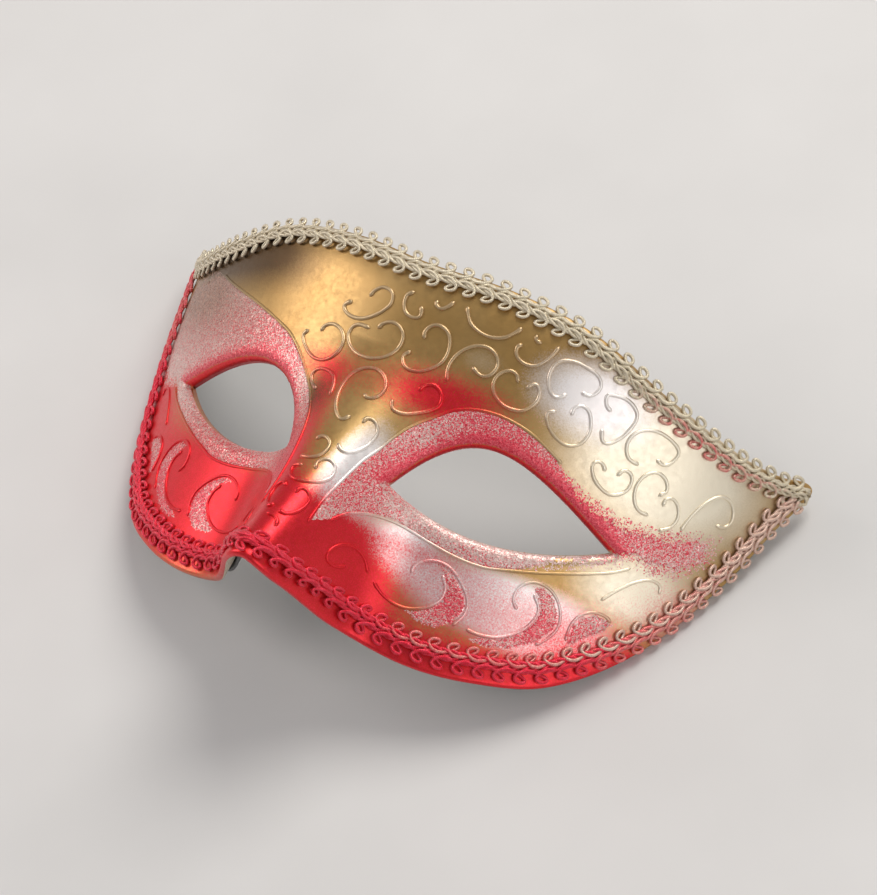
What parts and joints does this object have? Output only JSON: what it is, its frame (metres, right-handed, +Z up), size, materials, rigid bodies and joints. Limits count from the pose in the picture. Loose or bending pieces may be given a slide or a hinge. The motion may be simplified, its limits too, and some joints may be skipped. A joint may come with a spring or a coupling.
{
  "type": "venetian half mask",
  "caption": "Venetian half mask with cat-eye temples, raised scrolls, glitter round the eye holes and scroll gimp braid along its edge.",
  "frame": {"origin": "on the floor under the middle of the mask as it lies face up on its rim", "axes": "+X across the face towards the wearer's left temple, +Y towards the forehead, +Z up, out of the face"},
  "size_m": [0.1664, 0.0934, 0.0599],
  "materials": {
    "painted_shell": "satin gold paint with sprayed red shading and glitter",
    "relief_gold": "pale gold raised line",
    "relief_red": "pink and pale gold raised line",
    "gold_braid": "metallic gold gimp braid",
    "red_braid": "gimp braid sprayed red",
    "lining_felt": "black felt",
    "anchor_felt": "black felt patch"
  },
  "bodies": {
    "root": {"mask_shell": "painted_shell", "felt_lining": "lining_felt", "tie_anchor_right": "anchor_felt", "tie_anchor_left": "anchor_felt", "top_braid_core": "gold_braid", "top_braid_inner_scroll": "gold_braid", "top_braid_outer_scroll": "gold_braid", "bottom_braid_core": "red_braid", "bottom_braid_inner_scroll": "red_braid", "bottom_braid_outer_scroll": "red_braid", "relief_scroll_01": "relief_gold", "relief_scroll_02": "relief_gold", "relief_scroll_03": "relief_gold", "relief_scroll_04": "relief_gold", "relief_scroll_05": "relief_gold", "relief_scroll_06": "relief_gold", "relief_scroll_07": "relief_gold", "relief_scroll_08": "relief_gold", "relief_scroll_09": "relief_gold", "relief_scroll_10": "relief_gold", "relief_scroll_11": "relief_gold", "relief_scroll_12": "relief_gold", "relief_scroll_13": "relief_gold", "relief_scroll_14": "relief_gold", "relief_scroll_15": "relief_gold", "relief_scroll_16": "relief_gold", "relief_scroll_17": "relief_gold", "relief_scroll_18": "relief_gold", "relief_scroll_19": "relief_gold", "relief_scroll_20": "relief_gold", "relief_scroll_21": "relief_gold", "relief_scroll_22": "relief_gold", "relief_scroll_23": "relief_gold", "relief_scroll_24": "relief_gold", "relief_scroll_25": "relief_gold", "relief_scroll_26": "relief_gold", "relief_scroll_27": "relief_gold", "relief_scroll_28": "relief_gold", "cheek_swirl_right_1": "relief_red", "cheek_swirl_left_1": "relief_red", "cheek_swirl_right_2": "relief_red", "cheek_swirl_left_2": "relief_red", "cheek_swirl_right_3": "relief_red", "cheek_swirl_left_3": "relief_red", "cheek_swirl_right_4": "relief_red", "cheek_swirl_left_4": "relief_red", "cheek_swirl_right_5": "relief_red", "cheek_swirl_left_5": "relief_red", "cheek_swirl_right_6": "relief_red", "cheek_swirl_left_6": "relief_red", "cheek_swirl_right_7": "relief_red", "cheek_swirl_left_7": "relief_red", "eye_border_right_upper": "relief_red", "eye_border_left_upper": "relief_red", "eye_border_right_lower": "relief_red", "eye_border_left_lower": "relief_red"}
  },
  "joints": []
}
